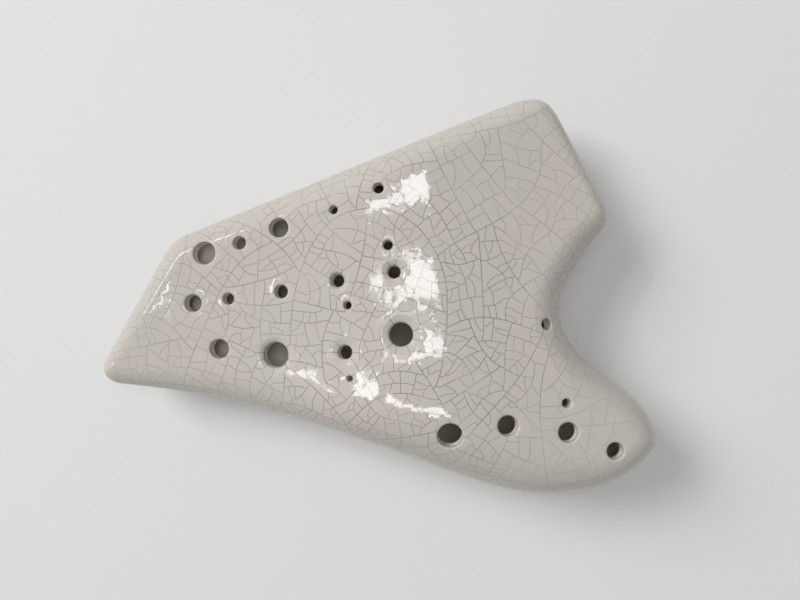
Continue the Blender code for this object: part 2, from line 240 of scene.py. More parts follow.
# Bends over a cell's width: their spread, their limit, how much one changes along a crack, and the
# power of the age's width by which older cracks run straighter
CRACK_BEND = 0.3
TIGHTEST_BEND = 0.6
CRACK_SWAY = 0.2
CRACK_EASE = 0.5
# A crack turns towards the nearest crack ahead within this many cell widths, this much in a step
CRACK_PULL = 1.1
CRACK_TURN = 0.3
# Least cosine of the angle at which a crack counts as ahead
AHEAD = 0.3
# Size of the boxes in which nearby crack points are looked up
CRACK_VIEW = 4.5
# A crack's last points that it can't meet
OWN_TRAIL = 4
# In steps: how near a crack joins the one ahead, has room beside another, and meets a hole
JOIN_REACH = 1.5
CRACK_ROOM = 0.85
HOLE_ROOM = 0.5
# How near to the seam a crack crosses it, and how steeply at least
SEAM_ROOM = 0.5
SEAM_RISE = 0.7
# Least room from a crack to the net's other points
CRACK_CLEARANCE = 0.8
# Greatest distance from a crack that the net notes
CRACK_REACH = 10.0
# Darkness away from the cracks' points, and what young cracks and those at the rim lose of it
STAIN = 0.8
CRACK_FADE = 0.3
RIM_FADE = 12.0
RIM_STAIN = 0.6
# Farther than anything on the part
FAR = 1000.0
# Nearer than any two points of a net
WELD = 1e-6
# Points that are worked on at a time
BATCH = 1000

# Glaze: scales of its patches, of where cracks turn faint and of its slight unevenness
PATCH_SCALE = 22
FAINT_SCALE = 90
PEEL_SCALE = 160
# Contrast of the two tints' patches, the cells' share in them, and the warm tint's share
PATCH_CONTRAST = (1.6, 1.4)
CELL_SHARE = 0.35
WARM_SHARE = 0.7
FAINT_FROM = 0.3
FAINT_TO = 0.6
FAINTEST = 0.55
# Where a crack's darkness starts and stops fading, as shares of half its width
LINE_EDGE = (0.4, 1.6)
# How deep the glaze runs into a hole, as shares of the wall
GLAZE_END = (0.2, 0.45)
GLAZE_ROUGHNESS = 0.05
BARE_ROUGHNESS = 0.7
CLAY_ROUGHNESS = 0.8
PEEL_HEIGHT = 0.06 * MM
PEEL_STRENGTH = 0.4

# Lights, in metres: place, width and length
KEY = ((-2.3, 1.3, 1.95), (1.6, 1.6))
EDGE_STRIP = ((-1.018, 0.53, 0.97), (0.8, 0.08))
CEILING = 1.2
# Small panels on the ceiling, which the front mirrors: x, y, length, width, turn in degrees
PANELS = (
    (0.12, 0.395, 0.18, 0.07, 8.0),
    (-0.13, 0.33, 0.42, 0.025, 11.0),
    (0.065, 0.213, 0.25, 0.06, 6.0),
    (-0.2, 0.163, 0.28, 0.022, 4.0),
    (0.115, 0.125, 0.14, 0.05, 0.0),
    (-0.118, 0.099, 0.33, 0.024, 0.0),
    (0.0, -0.083, 0.46, 0.03, -16.0),
    (-0.425, 0.042, 0.22, 0.045, -5.0),
    (-0.722, -0.025, 0.03, 0.095, 0.0),
)
FLOOR_REACH = 5.0
FLOOR_GAP = 0.0001
FLOOR_COLOUR = (0.8, 0.8, 0.8)
FLOOR_ROUGHNESS = 0.9
# The lens stands above this point
CAMERA_PLACE = (0.008, -0.0015)
NEAREST_SEEN = 0.01

HOLES = {1: LOW_HOLES + MIDDLE_HOLES + HIGH_HOLES, -1: THUMB_HOLES}


def bezier_run(knots, closed):
    """Points along a smooth curve through knots of (x, y, heading, ...), with any further values
    carried along it."""
    pairs = list(zip(knots, knots[1:]))
    if closed:
        pairs.append((knots[-1], knots[0]))
    run = []
    for first, last in pairs:
        a = Vector(first[:2])
        b = Vector(last[:2])
        turn = abs((last[2] - first[2] + 180) % 360 - 180)
        reach = (b - a).length / (3 * math.cos(math.radians(turn / 4)) ** 2)
        ways = [Vector((math.cos(h), math.sin(h))) for h in map(math.radians, (first[2], last[2]))]
        steps = max(2, math.ceil((b - a).length / EDGE_STEP), math.ceil(turn / EDGE_TURN))
        curve = interpolate_bezier(a, a + ways[0] * reach, b - ways[1] * reach, b, steps + 1)
        for i in range(steps):
            share = i / steps
            carried = [p + (q - p) * share for p, q in zip(first[3:], last[3:])]
            run.append([*curve[i][:2], *carried])
    if not closed:
        run.append([*knots[-1][:2], *knots[-1][3:]])
    return np.array(run)


LOOP = bezier_run(OUTLINE, closed=True)
RIM = len(LOOP)
SPAN = np.roll(LOOP[:, :2], -1, 0) - LOOP[:, :2]
SPAN_SQUARED = (SPAN**2).sum(1)
MIDDLE = (LOOP[:, :2].min(0) + LOOP[:, :2].max(0)) / 2
SEAM = REST_DEPTH + SLIP / 2


def unit(ways):
    """The same directions at length 1, for one direction or an array of them."""
    return ways / np.linalg.norm(ways, axis=-1, keepdims=True)


def inward_normals():
    """Unit vectors that point in from the outline's points."""
    ahead = unit(SPAN)
    along = unit(ahead + np.roll(ahead, 1, 0))
    return np.column_stack((-along[:, 1], along[:, 0]))


INWARD = inward_normals()


def nearest_edge(points):
    """The outline's edge that each point lies nearest to, and how far along that edge."""
    edges = []
    shares = []
    for some in np.array_split(points, max(1, len(points) // BATCH)):
        offset = some[:, None] - LOOP[None, :, :2]
        share = np.clip((offset * SPAN).sum(-1) / SPAN_SQUARED, 0, 1)
        near = np.linalg.norm(offset - share[..., None] * SPAN, axis=-1).argmin(1)
        edges.append(near)
        shares.append(share[np.arange(len(some)), near])
    return np.concatenate(edges), np.concatenate(shares)


def along_outline(values, edge, share):
    """Values of the outline's points, blended at places along its edges."""
    share = np.reshape(share, np.shape(share) + (1,) * (values.ndim - 1))
    return values[edge] + (values[(edge + 1) % RIM] - values[edge]) * share


def edge_distance(points):
    """How far points lie in from the outline, and the edge roll at the nearest place on it."""
    edge, share = nearest_edge(points)
    gap = np.linalg.norm(points - along_outline(LOOP[:, :2], edge, share), axis=-1)
    return gap, along_outline(LOOP[:, 2], edge, share)


def plateau(points, column):
    """Blend of one value of the thickness stations, with the flat rest worked into the back."""
    stations = np.array(STATIONS)
    away = ((points[:, None] - stations[None, :, :2]) ** 2).sum(-1)
    weight = np.exp(-away / (2 * STATION_REACH**2))
    level = (weight * stations[:, column]).sum(1) / weight.sum(1)
    if column != BACK:
        return level
    over = np.clip(level - (REST_DEPTH - REST_EASE), 0, 2 * REST_EASE)
    return np.minimum(level, REST_DEPTH + REST_EASE) - over**2 / (4 * REST_EASE)


def quarter_round(share):
    return np.sqrt(1 - (1 - np.clip(share, 0, 1)) ** 2)


def surface(points, side, inset=None):
    """Height of the front (side 1) or the back (side -1) over plan points. With an inset of
    (wall, side wall) it is the inner face."""
    points = np.asarray(points, float).reshape(-1, 2)
    level = plateau(points, FRONT if side > 0 else BACK)
    distance, roll = edge_distance(points)
    if inset:
        wall, side_wall = inset
        level = level - wall - (plateau(points, FILLING) if side < 0 else 0)
        roll = np.maximum(roll - side_wall, LEAST_INNER_ROLL)
        distance = distance - side_wall
    return side * level * quarter_round(distance / roll)


def point_height(x, y, side):
    return float(surface([(x, y)], side)[0])


def surface_normal(x, y, side):
    beside = [point_height(x + dx, y + dy, side) for dx, dy in
              ((SLOPE_STEP, 0), (-SLOPE_STEP, 0), (0, SLOPE_STEP), (0, -SLOPE_STEP))]
    slope = Vector((beside[1] - beside[0], beside[3] - beside[2], 2 * SLOPE_STEP))
    return slope.normalized() * side


def glaze_level(points, side):
    """Height that the glaze reaches inside the rounded edge, from the seam's middle."""
    return plateau(points, FRONT if side > 0 else BACK) + SLIP / 2


def raised(plan, side, rim=0):
    """Plan points lifted onto the glaze, from the seam's middle, without lips and dishes. The first
    ones may lie on the rim."""
    distance, roll = edge_distance(plan)
    distance[:rim] = 0
    return np.column_stack((plan, side * glaze_level(plan, side) * quarter_round(distance / roll)))


def unrolled(plan, side):
    """Plan points with the rounded edge laid out flat, so that lengths along the glaze are kept."""
    edge, share = nearest_edge(plan)
    # Slides each foot along the outline until the blended inward normal there points at the point
    at = edge + share
    for _ in range(FOOT_TRIES):
        edge = np.floor(at).astype(int) % RIM
        share = at - np.floor(at)
        foot = along_outline(LOOP[:, :2], edge, share)
        inward = unit(along_outline(INWARD, edge, share))
        aside = np.column_stack((inward[:, 1], -inward[:, 0]))
        at = at + FOOT_SHARE * ((plan - foot) * aside).sum(1) / np.linalg.norm(SPAN[edge], axis=1)
    distance, roll = edge_distance(plan)
    level = glaze_level(plan, side)
    distance[:RIM] = 0
    inward[:RIM] = INWARD
    foot[:RIM] = LOOP[:, :2]

    def arc(end):
        angles = end[:, None] * (np.arange(ARC_STEPS) + 0.5) / ARC_STEPS
        pieces = np.hypot(roll[:, None] * np.sin(angles), level[:, None] * np.cos(angles))
        return pieces.sum(1) * end / ARC_STEPS

    whole = arc(np.full(len(plan), math.pi / 2))
    here = arc(np.arccos(1 - np.clip(distance / roll, 0, 1)))
    laid = foot + inward * (roll - whole + here)[:, None]
    return np.where((distance < roll)[:, None], laid, plan)


def settle(place):
    """Slides a point near the glaze onto it. Returns it with the way out of the glaze there."""
    for _ in range(SETTLE_TRIES):
        offset = place[:2] - LOOP[:, :2]
        share = np.clip((offset * SPAN).sum(1) / SPAN_SQUARED, 0, 1)
        edge = int(((offset - share[:, None] * SPAN) ** 2).sum(1).argmin())
        inward = unit(along_outline(INWARD, edge, share[edge]))
        reach = along_outline(LOOP[:, 2], edge, share[edge])
        distance = (place[:2] - along_outline(LOOP[:, :2], edge, share[edge])) @ inward
        level = glaze_level(place[None, :2], 1 if place[2] > 0 else -1)[0]
        left = max(1 - distance / reach, 0)
        slope = np.append(-2 * left / reach * inward, 2 * place[2] / level**2)
        place = place - slope * ((place[2] / level) ** 2 + left**2 - 1) / (slope @ slope)
    return place, unit(slope)


def enclosed(points, outline):
    """True for the points within a closed outline, by counting its crossings to the right."""
    ends = np.roll(outline, -1, 0)
    rise = np.where(ends[:, 1] == outline[:, 1], 1, ends[:, 1] - outline[:, 1])
    found = []
    for some in np.array_split(points, max(1, len(points) // BATCH)):
        x = some[:, None, 0]
        y = some[:, None, 1]
        spans = (outline[:, 1] > y) != (ends[:, 1] > y)
        cross = outline[:, 0] + (y - outline[:, 1]) / rise * (ends[:, 0] - outline[:, 0])
        found.append((spans & (x < cross)).sum(1) % 2 == 1)
    return np.concatenate(found)


@functools.lru_cache(maxsize=None)
def hole_axis(x, y, side):
    """Direction of a hole: between straight up and square to the surface."""
    upright = Vector((0, 0, side)) * (1 - HOLE_LEAN)
    return (upright + surface_normal(x, y, side) * HOLE_LEAN).normalized()


def hole_ring(x, y, radius, side, inset=None):
    """Points of a circle round a hole's axis, slid along the axis onto the shell's face."""
    axis = np.array(hole_axis(x, y, side))
    turn = np.array(Vector((0, 0, 1)).rotation_difference(Vector(axis)).to_matrix())
    angles = np.arange(HOLE_SIDES) * 2 * math.pi / HOLE_SIDES
    circle = np.column_stack((radius * np.cos(angles), radius * np.sin(angles), 0 * angles))
    ring = circle @ turn.T + (x, y, point_height(x, y, side))
    for _ in range(RING_TRIES):
        lift = surface(ring[:, :2], side, inset) - ring[:, 2]
        ring = ring + axis * (lift / axis[2])[:, None]
    return ring[:, :2]


class Sheet:
    """A flat net over the outline's inside, with its holes left out. The outline's points come
    first and each hole has rings of points from its loop outwards."""

    def __init__(self, side, holes, bands, inset=None):
        self.side = side
        side_wall = inset[1] if inset else 0.0
        reach = np.maximum(LOOP[:, 2] - side_wall, LEAST_INNER_ROLL) if inset else LOOP[:, 2]
        points = [LOOP[:, :2] + INWARD * side_wall]
        for band in range(1, bands + 1):
            step = side_wall + reach * (1 - math.cos(math.pi / 2 * band / bands))
            ring = LOOP[:, :2] + INWARD * step[:, None]
            points.append(ring[edge_distance(ring)[0] > step - RING_SLACK])
        points.append(self.field(reach.min() if inset else 0.0, side_wall))
        plan = np.vstack(points)
        clear = np.ones(len(plan), bool)
        made = []
        for x, y, width, dish in holes:
            steps = self.hole_steps(width, dish) if not inset else [0.0]
            zone = hole_ring(x, y, width / 2 + steps[-1] + HOLE_CLEARANCE, side, inset)
            clear &= ~enclosed(plan, zone)
            made.append((steps, dish, [hole_ring(x, y, width / 2 + s, side, inset) for s in steps]))
        clear[:RIM] = True
        self.plan = plan[clear]
        self.loose = np.arange(len(self.plan)) >= RIM
        self.gap = np.full(len(self.plan), FAR)
        self.dish = np.zeros(len(self.plan))
        self.rings = []
        for (steps, dish, rings), (_, _, width, _) in zip(made, holes):
            count = len(self.plan)
            self.rings.append(count + np.arange(len(steps) * HOLE_SIDES).reshape(-1, HOLE_SIDES))
            self.append(np.vstack(rings), np.repeat(steps, HOLE_SIDES), max(dish - width, 0) / 2)

    def append(self, plan, gap=FAR, dish=0.0):
        """Adds points that stay where they are."""
        self.plan = np.vstack((self.plan, plan))
        self.loose = np.append(self.loose, np.zeros(len(plan), bool))
        self.gap = np.append(self.gap, np.broadcast_to(gap, len(plan)))
        self.dish = np.append(self.dish, np.full(len(plan), dish))

    @staticmethod
    def hole_steps(width, dish):
        """How far out from a hole's edge its rings lie, over the lip and the dish."""
        steps = [LIP * (1 - math.cos(math.pi / 2 * k / LIP_RINGS)) for k in range(LIP_RINGS + 1)]
        out = (dish - width) / 2
        if out > LIP:
            steps += [LIP + (out - LIP) * k / DISH_RINGS for k in range(1, DISH_RINGS + 1)]
        return steps

    @staticmethod
    def field(least, side_wall):
        """Evenly spread points past the rounded edge."""
        low = LOOP[:, :2].min(0)
        high = LOOP[:, :2].max(0)
        spots = []
        for row, y in enumerate(np.arange(low[1], high[1], FIELD_STEP * math.sqrt(0.75))):
            start = low[0] + (row % 2) * FIELD_STEP / 2
            spots += [(x, y) for x in np.arange(start, high[0], FIELD_STEP)]
        spots = np.array(spots)
        distance, roll = edge_distance(spots)
        deep = np.maximum(roll, side_wall + least) + FIELD_CLEARANCE
        return spots[enclosed(spots, LOOP[:, :2]) & (distance > deep)]

    def keep(self, kept):
        """Drops the loose points that aren't kept, and numbers the rest anew."""
        number = np.cumsum(kept) - 1
        self.rings = [number[ring] for ring in self.rings]
        for name in ("plan", "loose", "gap", "dish"):
            setattr(self, name, getattr(self, name)[kept])
        return number

    def triangulate(self, flat, cracks=()):
        """Triangles between the outline and the holes. Cracks are edges that the net keeps."""
        loops = [np.arange(RIM)] + [ring[0] for ring in self.rings]
        edges = [(int(a), int(b)) for loop in loops for a, b in zip(loop, np.roll(loop, -1))]
        borders = len(edges)
        edges += [(int(a), int(b)) for a, b in cracks]
        spots, links, faces, _, sources, _ = delaunay_2d_cdt(
            [Vector(p) for p in flat], edges, [], 0, WELD, True)
        spots = np.array([tuple(p) for p in spots])
        found = [(a, b) for (a, b), from_edges in zip(links, sources)
                 if any(e >= borders for e in from_edges)]
        if len(spots) > len(flat):
            self.append_crossings(flat, spots, links, sources, edges)
        faces = np.array(faces)
        centres = spots[faces].mean(1)
        keep = enclosed(centres, flat[loops[0]])
        for loop in loops[1:]:
            keep &= ~enclosed(centres, flat[loop])
        self.faces = faces[keep]
        return found

    def append_crossings(self, flat, spots, links, sources, edges):
        """Gives a plan place to the new points where two cracks cross."""
        count = len(flat)
        places = {}
        for (a, b), from_edges in zip(links, sources):
            for new in (a, b):
                if new >= count and new not in places and from_edges:
                    first, last = edges[from_edges[0]]
                    along = flat[last] - flat[first]
                    share = (spots[new] - flat[first]) @ along / (along @ along)
                    places[new] = self.plan[first] * (1 - share) + self.plan[last] * share
        self.append(np.array([places[new] for new in range(count, len(spots))]))


class Crackle:
    """Cracks that part the glaze into ever smaller cells. Each starts where the glaze is farthest
    from the older cracks, runs both ways in a gentle curve, and ends square against the next crack
    or at a hole. It goes on over the seam from one shell to the other."""

    def __init__(self, sheets):
        self.sheets = sheets
        self.chance = np.random.default_rng(CRACK_SEED)
        self.places = np.zeros((MOST_CRACK_POINTS, 3))
        self.count = 0
        self.grid = {}
        self.homes = []
        self.known = {}
        self.edges = []
        self.holes = []
        for side, holes in HOLES.items():
            for (x, y, width, dish), rings in zip(holes, sheets[side].rings):
                foot = np.array((x, y, point_height(x, y, side) + side * SLIP / 2))
                axis = np.array(hole_axis(x, y, side))
                lifted = raised(sheets[side].plan[rings[-1]], side)
                zone = width / 2 + self.sheets[side].hole_steps(width, dish)[-1]
                apart = math.ceil(CRACK_STEPS[1] * HOLE_SIDES / (math.pi * width)) + 1
                self.holes.append((foot, axis, zone, side, rings, lifted, apart))
        self.feet = np.array([h[0] for h in self.holes])
        self.axes = np.array([h[1] for h in self.holes])
        self.zones = np.array([h[2] for h in self.holes])
        self.met = [[] for _ in self.holes]
        self.part()

    def part(self):
        """Grows the cracks from the oldest, which lie widest apart, to the youngest."""
        seeds = []
        for side, sheet in self.sheets.items():
            lifted = raised(sheet.plan[sheet.loose], side)
            seeds.append(lifted[np.abs(lifted[:, 2]) > CRACK_STEPS[1]])
        seeds = np.vstack(seeds)
        limit = cell_value(seeds, CELL_WIDTH) * self.chance.uniform(*CELL_SPREAD, len(seeds)) / 2
        gap = np.full(len(seeds), FAR)
        for age, share in enumerate(CRACK_AGES):
            left = gap > limit
            seeds = seeds[left]
            limit = limit[left]
            gap = gap[left]
            while len(far := np.flatnonzero(gap > limit * share)):
                before = self.count
                strength = 1 - CRACK_FADE * age / len(CRACK_AGES)
                self.grow(seeds[self.chance.choice(far)], share, strength)
                for place in self.places[before:self.count]:
                    np.minimum(gap, np.sqrt(((seeds - place) ** 2).sum(1)), out=gap)

    def add(self, place, home=None):
        """Number of the crack point at a place. Its home is its point of the seam or of a hole."""
        if home and home in self.known:
            return self.known[home]
        self.places[self.count] = place
        self.grid.setdefault(self.box(place), []).append(self.count)
        self.homes.append(home)
        if home:
            self.known[home] = self.count
        self.count += 1
        return self.count - 1

    @staticmethod
    def box(place):
        return tuple(np.floor_divide(place, CRACK_VIEW).astype(int).tolist())

    def grow(self, seed, share, strength):
        """One crack, from its middle both ways."""
        place, out = settle(seed)
        if self.count:
            way = self.places[:self.count] - place
            way = way[np.linalg.norm(way, axis=1).argmin()] + self.chance.normal(0, START_SPREAD, 3)
        else:
            way = np.array(FIRST_CRACK)
        way = unit(way - out * (way @ out))
        start = self.add(place)
        reach = share**CRACK_EASE * cell_value(place[None], CELL_WIDTH)[0]
        bend = self.chance.normal(0, CRACK_BEND) / reach
        limit = TIGHTEST_BEND / reach
        trail = self.run(start, place, out, way, bend, limit, [start], strength)
        self.run(start, place, out, -way, -bend, limit, trail[2:0:-1] + [start], strength)

    def nearest(self, place, trail, way=None):
        """The closest crack point nearby, or the closest that lies ahead, and how far it is."""
        x, y, z = self.box(place)
        own = trail[-OWN_TRAIL:]
        close = [spot for i in (x - 1, x, x + 1) for j in (y - 1, y, y + 1)
                 for k in (z - 1, z, z + 1) for spot in self.grid.get((i, j, k), ())
                 if spot not in own]
        if not close:
            return None, FAR
        offset = self.places[close] - place
        gap = np.sqrt((offset**2).sum(1))
        if way is not None:
            gap[offset @ way < AHEAD * gap] = FAR
        best = gap.argmin()
        return close[best], gap[best]

    def run(self, spot, place, out, way, bend, limit, trail, strength):
        """Half a crack, step by step. Returns the points that it went through."""
        sway = abs(bend) * CRACK_SWAY
        for _ in range(LONGEST_CRACK):
            width = cell_value(place[None], CELL_WIDTH)[0]
            step = min(max(CRACK_STEP * width, CRACK_STEPS[0]), CRACK_STEPS[1])
            pull = CRACK_PULL * width
            target, gap = self.nearest(place, trail, way)
            if gap < JOIN_REACH * step:
                self.edges.append((spot, target, strength))
                break
            bend = min(max(bend + self.chance.normal(0, 1) * sway, -limit), limit)
            way = way + np.cross(out, way) * bend * step
            if gap < pull:
                way = way + (self.places[target] - place) / gap * (1 - gap / pull) * CRACK_TURN
            way = unit(way - out * (way @ out))
            ahead, ahead_out = settle(place + way * step)
            hole = self.hole_at(ahead, step)
            if hole is not None:
                self.end_at_hole(spot, place, hole, strength)
                break
            if ahead[2] * place[2] < 0 or (abs(ahead[2]) < SEAM_ROOM and place[2] != 0):
                spot, ended = self.cross_seam(spot, ahead, trail, strength)
                if ended:
                    break
                place = self.places[spot]
                out = -np.append(INWARD[self.homes[spot][1]], 0)
                rise = max(abs(way[2]), SEAM_RISE)
                way[2] = -math.copysign(rise, self.places[trail[-1], 2] or 1.0)
                way = unit(way - out * (way @ out))
            else:
                beside, room = self.nearest(ahead, trail)
                if room < CRACK_ROOM * step:
                    self.edges.append((spot, beside, strength))
                    break
                last = spot
                spot = self.add(ahead)
                self.edges.append((last, spot, strength))
                place = ahead
                out = ahead_out
            trail = trail + [spot]
        return trail

    def cross_seam(self, spot, place, trail, strength):
        """Joins a crack to the nearest point of the seam, or to a crack that crosses it there."""
        index = int(np.linalg.norm(LOOP[:, :2] - place[:2], axis=1).argmin())
        for near in (index, (index + 1) % RIM, (index - 1) % RIM):
            other = self.known.get((0, near))
            if other is not None:
                if other not in trail:
                    self.edges.append((spot, other, strength))
                return spot, True
        crossing = self.add((*LOOP[index, :2], 0), (0, index))
        self.edges.append((spot, crossing, strength))
        return crossing, False

    def hole_at(self, place, step):
        """The hole that a crack meets at a place, if it meets one."""
        offset = place - self.feet
        along = (offset * self.axes).sum(1)
        radial = np.linalg.norm(offset - self.axes * along[:, None], axis=1)
        close = np.flatnonzero((radial < self.zones + HOLE_ROOM * step) & (np.abs(along) < WALL))
        return int(close[0]) if len(close) else None

    def end_at_hole(self, spot, place, hole, strength):
        """Runs a crack straight over a hole's dish and lip, to the hole's edge."""
        _, _, _, side, rings, lifted, apart = self.holes[hole]
        k = int(np.linalg.norm(lifted - place, axis=1).argmin())
        for other in self.met[hole]:
            if abs((other - k + HOLE_SIDES // 2) % HOLE_SIDES - HOLE_SIDES // 2) < apart:
                self.edges.append((spot, self.known[(side, int(rings[-1, other]))], strength))
                return
        self.met[hole].append(k)
        for index in rings[::-1, k]:
            place = raised(self.sheets[side].plan[index][None], side)[0]
            lower = self.add(place, (side, int(index)))
            self.edges.append((spot, lower, strength))
            spot = lower


def cell_value(places, column):
    """A column of the crackle's table at places: the cells' width or the cracks' darkness."""
    away = ((places[:, None, :2] - CELLS[None, :, :2]) ** 2).sum(-1)
    weight = np.exp(-away / (2 * CELL_REACH**2)) + LEAST_WEIGHT
    return (weight * CELLS[:, column]).sum(1) / weight.sum(1)


@functools.lru_cache(maxsize=None)
def cracked_sheets():
    """The outer nets of both shells, with one crackle over both."""
    sheets = {side: Sheet(side, holes, OUTER_BANDS) for side, holes in HOLES.items()}
    crackle = Crackle(sheets)
    places = crackle.places[:crackle.count]
    strength = np.zeros(crackle.count)
    for a, b, given in crackle.edges:
        strength[a] = max(strength[a], given)
        strength[b] = max(strength[b], given)
    for side, sheet in sheets.items():
        own = [i for i in range(crackle.count) if not crackle.homes[i] and places[i, 2] * side > 0]
        near = places[places[:, 2] * side > -CRACK_REACH]
        tree = KDTree(len(near))
        for i, place in enumerate(near):
            tree.insert(place, i)
        tree.balance()
        lifted = raised(sheet.plan, side, RIM)
        room = np.array([tree.find(place)[2] for place in lifted])
        number = sheet.keep(~sheet.loose | (room > CRACK_CLEARANCE))
        first = len(sheet.plan)
        sheet.append(places[own, :2])
        index = {spot: first + n for n, spot in enumerate(own)}
        for home, spot in crackle.known.items():
            if home[0] in (0, side):
                index[spot] = int(number[home[1]])
        cracks = [(index[a], index[b]) for a, b, _ in crackle.edges
                  if a in index and b in index and index[a] != index[b]]
        flat = unrolled(sheet.plan, side)
        links = sheet.triangulate(flat, cracks)
        sheet.stain = np.full(len(sheet.plan), STAIN)
        for spot, n in index.items():
            sheet.stain[n] = strength[spot]
        split_short_cuts(sheet, links)
    return sheets


def split_short_cuts(sheet, cracks):
    """Halves every edge that runs from crack to crack through the glaze, so that no triangle is
    crack at all its corners. Then notes which cell each triangle lies in and how far its corners
    lie from the crack."""
    count = len(sheet.plan)
    walls = {(min(a, b), max(a, b)) for a, b in cracks}
    cracked = np.zeros(count, bool)
    cracked[list({i for wall in walls for i in wall})] = True
    halves = {}
    for face in sheet.faces.tolist():
        for a, b in zip(face, face[1:] + face[:1]):
            edge = (min(a, b), max(a, b))
            if cracked[a] and cracked[b] and edge not in walls and edge not in halves:
                halves[edge] = count + len(halves)
    ends = np.array(list(halves), int).reshape(-1, 2)
    for name in ("plan", "gap", "dish", "stain"):
        values = getattr(sheet, name)
        setattr(sheet, name, np.concatenate((values, values[ends].mean(1))))
    faces = []
    for face in sheet.faces.tolist():
        middles = [halves.get((min(a, b), max(a, b))) for a, b in zip(face, face[1:] + face[:1])]
        cut = [k for k in range(3) if middles[k] is not None]
        if not cut:
            faces.append(face)
        elif len(cut) == 1:
            a, b, c = face[cut[0]:] + face[:cut[0]]
            faces += [[a, middles[cut[0]], c], [middles[cut[0]], b, c]]
        elif len(cut) == 2:
            whole = ({0, 1, 2} - set(cut)).pop()
            a, b, c = face[whole:] + face[:whole]
            bc = middles[(whole + 1) % 3]
            ca = middles[(whole + 2) % 3]
            faces += [[a, b, bc], [a, bc, ca], [ca, bc, c]]
        else:
            a, b, c = face
            ab, bc, ca = middles
            faces += [[a, ab, ca], [ab, b, bc], [ca, bc, c], [ab, bc, ca]]
    sheet.faces = np.array(faces)
    sheet.cracked = np.append(cracked, np.zeros(len(halves), bool))
    sheet.groove = sheet.cracked & (np.arange(len(sheet.cracked)) >= RIM)
    mark_cells(sheet, walls)


def mark_cells(sheet, walls):
    """Each corner's distance from the crack, and a random colour for each cell."""
    places = raised(sheet.plan, sheet.side, RIM)
    faces = sheet.faces
    spots = np.flatnonzero(sheet.cracked)
    tree = KDTree(len(spots))
    for i in spots:
        tree.insert(places[i], int(i))
    tree.balance()
    away = np.array([0.0 if crack else tree.find(place)[2]
                     for crack, place in zip(sheet.cracked, places)])
    corners = away[faces]
    beside = {}
    for index, face in enumerate(faces.tolist()):
        for k in range(3):
            a, b = face[k], face[(k + 1) % 3]
            edge = (min(a, b), max(a, b))
            if edge in walls:
                third = (k + 2) % 3
                if not sheet.cracked[face[third]]:
                    along = places[b] - places[a]
                    area = np.linalg.norm(np.cross(along, places[face[third]] - places[a]))
                    corners[index, third] = area / np.linalg.norm(along)
            else:
                beside.setdefault(edge, []).append(index)
    linked = [[] for _ in faces]
    for pair in beside.values():
        if len(pair) == 2:
            linked[pair[0]].append(pair[1])
            linked[pair[1]].append(pair[0])
    cell = np.full(len(faces), -1)
    cells = 0
    for index in range(len(faces)):
        if cell[index] < 0:
            queue = [index]
            cell[index] = cells
            while queue:
                for other in linked[queue.pop()]:
                    if cell[other] < 0:
                        cell[other] = cells
                        queue.append(other)
            cells += 1
    chance = np.random.default_rng(CRACK_SEED + sheet.side)
    sheet.near = 1 - corners / CRACK_REACH
    sheet.cells = np.repeat(chance.random((cells, 3))[cell][:, None], 3, axis=1)


def flat_shell(name, side):
    """A shell pressed flat: its outer net, its inner net, the walls of its holes and the land at
    the seam, as one closed mesh with the attributes that the form rule and the glaze read."""
    outer = cracked_sheets()[side]
    inner = Sheet(side, HOLES[side], INNER_BANDS, (WALL, SIDE_WALL))
    inner.triangulate(inner.plan)
    shift = len(outer.plan)
    plan = [outer.plan, inner.plan]
    gap = [outer.gap, inner.gap]
    dish = [outer.dish, inner.dish]
    depth = [np.zeros(shift), np.ones(len(inner.plan))]
    count = shift + len(inner.plan)
    turn = 1 if side > 0 else -1
    faces = [face[::turn] for face in outer.faces.tolist()]
    faces += [face[::-turn] for face in (inner.faces + shift).tolist()]

    def bridge(first, second):
        for k in range(len(first)):
            n = (k + 1) % len(first)
            faces.append([int(i) for i in (first[k], first[n], second[n], second[k])][::turn])

    rim = np.arange(RIM)
    bridge(shift + rim, rim)
    for above, below in zip(outer.rings, inner.rings):
        last = above[0]
        for k in range(1, WALL_RINGS):
            share = k / WALL_RINGS
            plan.append(outer.plan[above[0]] * (1 - share) + inner.plan[below[0]] * share)
            gap.append(outer.gap[above[0]])
            dish.append(outer.dish[above[0]])
            depth.append(np.full(HOLE_SIDES, share))
            ring = count + np.arange(HOLE_SIDES)
            count += HOLE_SIDES
            bridge(last, ring)
            last = ring
        bridge(last, shift + below[0])
    plan = np.vstack(plan)
    mesh = bpy.data.meshes.new(name)
    mesh.from_pydata([(*(p * MM), 0) for p in plan], [], faces)
    edge, roll = edge_distance(plan)
    edge[:RIM] = 0
    spare = np.zeros(count - shift)
    stain = np.append(outer.stain, spare + STAIN) * cell_value(plan, DARKNESS)
    values = {
        "edge": edge * MM,
        "roll": roll * MM,
        "level": plateau(plan, FRONT if side > 0 else BACK) * MM,
        "filling": plateau(plan, FILLING) * (MM if side < 0 else 0),
        "gap": np.concatenate(gap) * MM,
        "dish": np.concatenate(dish) * MM,
        "depth": np.concatenate(depth),
        "crack": np.append(outer.groove, spare),
        "stain": stain * rim_fade(edge),
    }
    for key, value in values.items():
        layer = mesh.attributes.new(key, "FLOAT", "POINT")
        layer.data.foreach_set("value", value.astype(np.float32))
    near = np.zeros(len(mesh.loops), np.float32)
    cells = np.full((len(mesh.loops), 3), 0.5, np.float32)
    near[:outer.near.size] = outer.near[:, ::turn].ravel()
    cells[:outer.near.size] = outer.cells.reshape(-1, 3)
    mesh.attributes.new("crack_near", "FLOAT", "CORNER").data.foreach_set("value", near)
    mesh.attributes.new("cell", "FLOAT_VECTOR", "CORNER").data.foreach_set("vector", cells.ravel())
    return mesh


